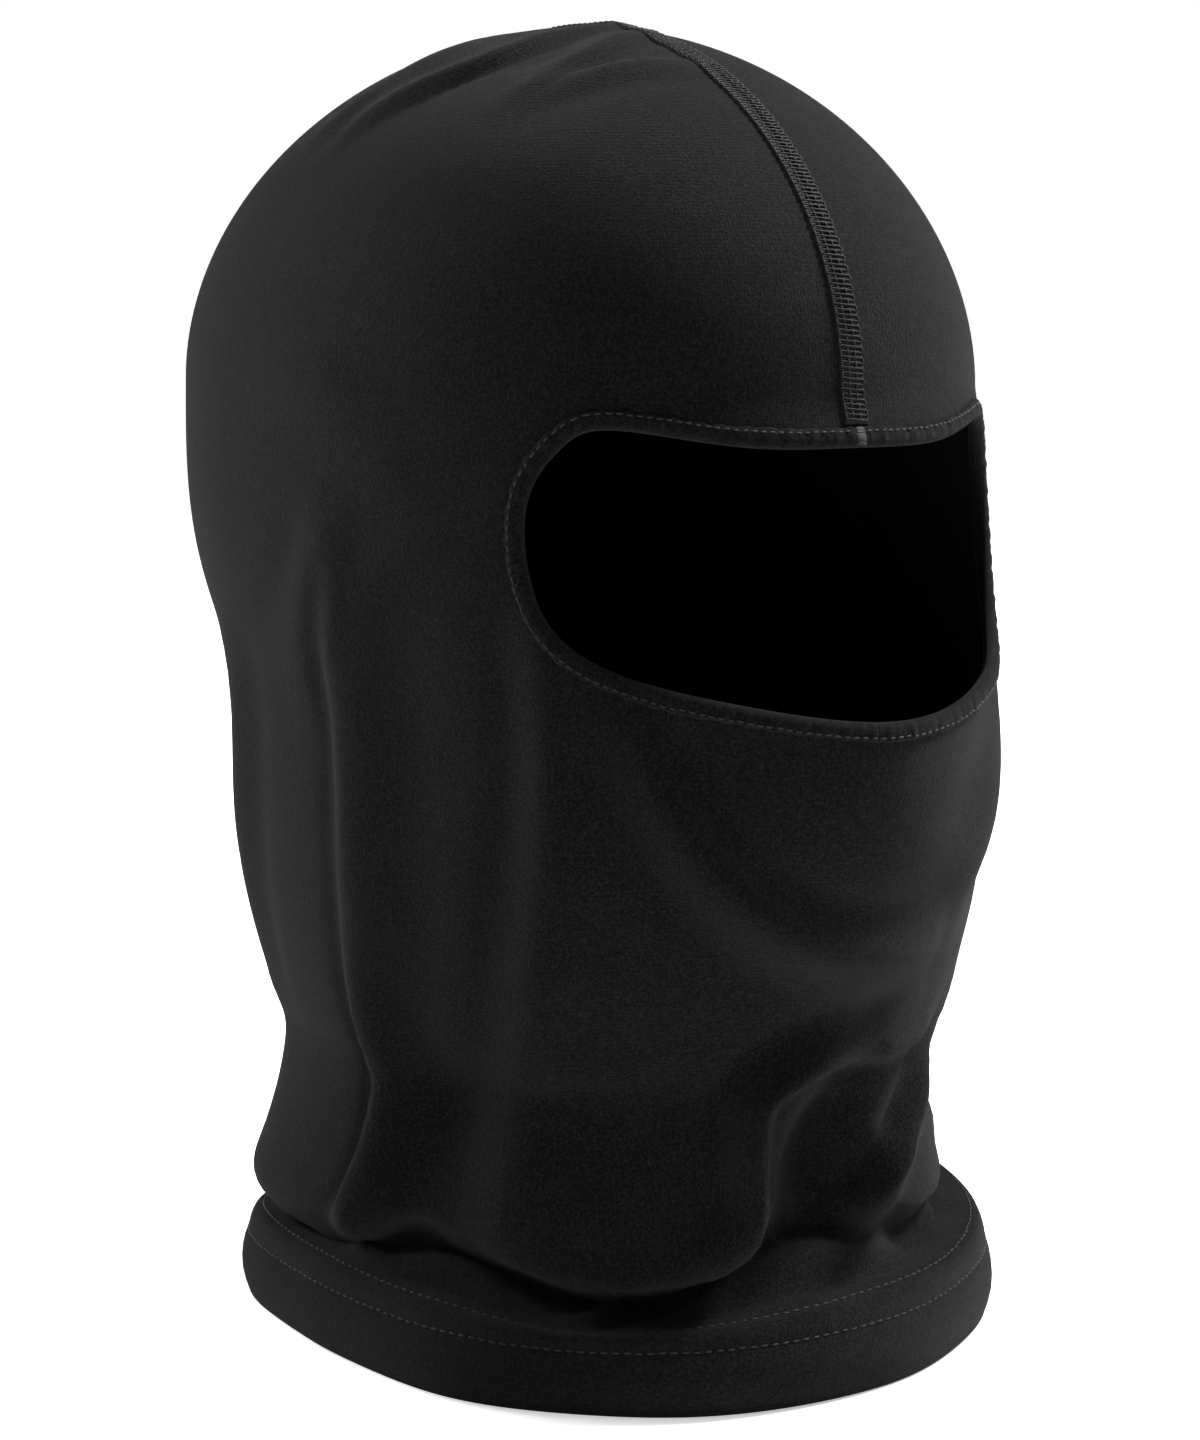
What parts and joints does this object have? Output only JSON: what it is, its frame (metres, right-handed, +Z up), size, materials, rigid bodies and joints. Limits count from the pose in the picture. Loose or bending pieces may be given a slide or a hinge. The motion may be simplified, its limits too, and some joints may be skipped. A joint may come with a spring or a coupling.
{
  "type": "balaclava",
  "caption": "Stretch-jersey balaclava in its worn shape: one-piece hood with a bound eye opening, a flat seam over the crown and a turned-up, twin-stitched neck hem",
  "frame": {"origin": "middle of the bounding box at the plane of the hem, on which the hood stands", "axes": "+Z up from the hem to the crown, +X towards the wearer's left, -Y the way the face looks"},
  "size_m": [0.1618, 0.217, 0.2831],
  "materials": {
    "jersey": "matt black stretch jersey, lightly brushed",
    "binding": "black jersey strip rolled over the edge",
    "elastic": "thin clear-black elastic tape",
    "sewing_thread": "black spun polyester thread with a faint sheen",
    "overlock_thread": "black textured overlock thread",
    "label_satin": "plain white satin label, blank"
  },
  "bodies": {
    "root": {"hood_panel": "jersey", "face_binding": "binding", "face_elastic": "elastic", "binding_needle_thread": "sewing_thread", "binding_looper_thread": "sewing_thread", "binding_join_bartack": "sewing_thread", "seam_cover_thread": "overlock_thread", "seam_needle_threads": "overlock_thread", "seam_looper_thread": "overlock_thread", "hem_needle_thread_lower": "sewing_thread", "hem_needle_thread_upper": "sewing_thread", "hem_looper_thread": "overlock_thread", "care_label": "label_satin", "care_label_stitch": "sewing_thread"}
  },
  "joints": []
}
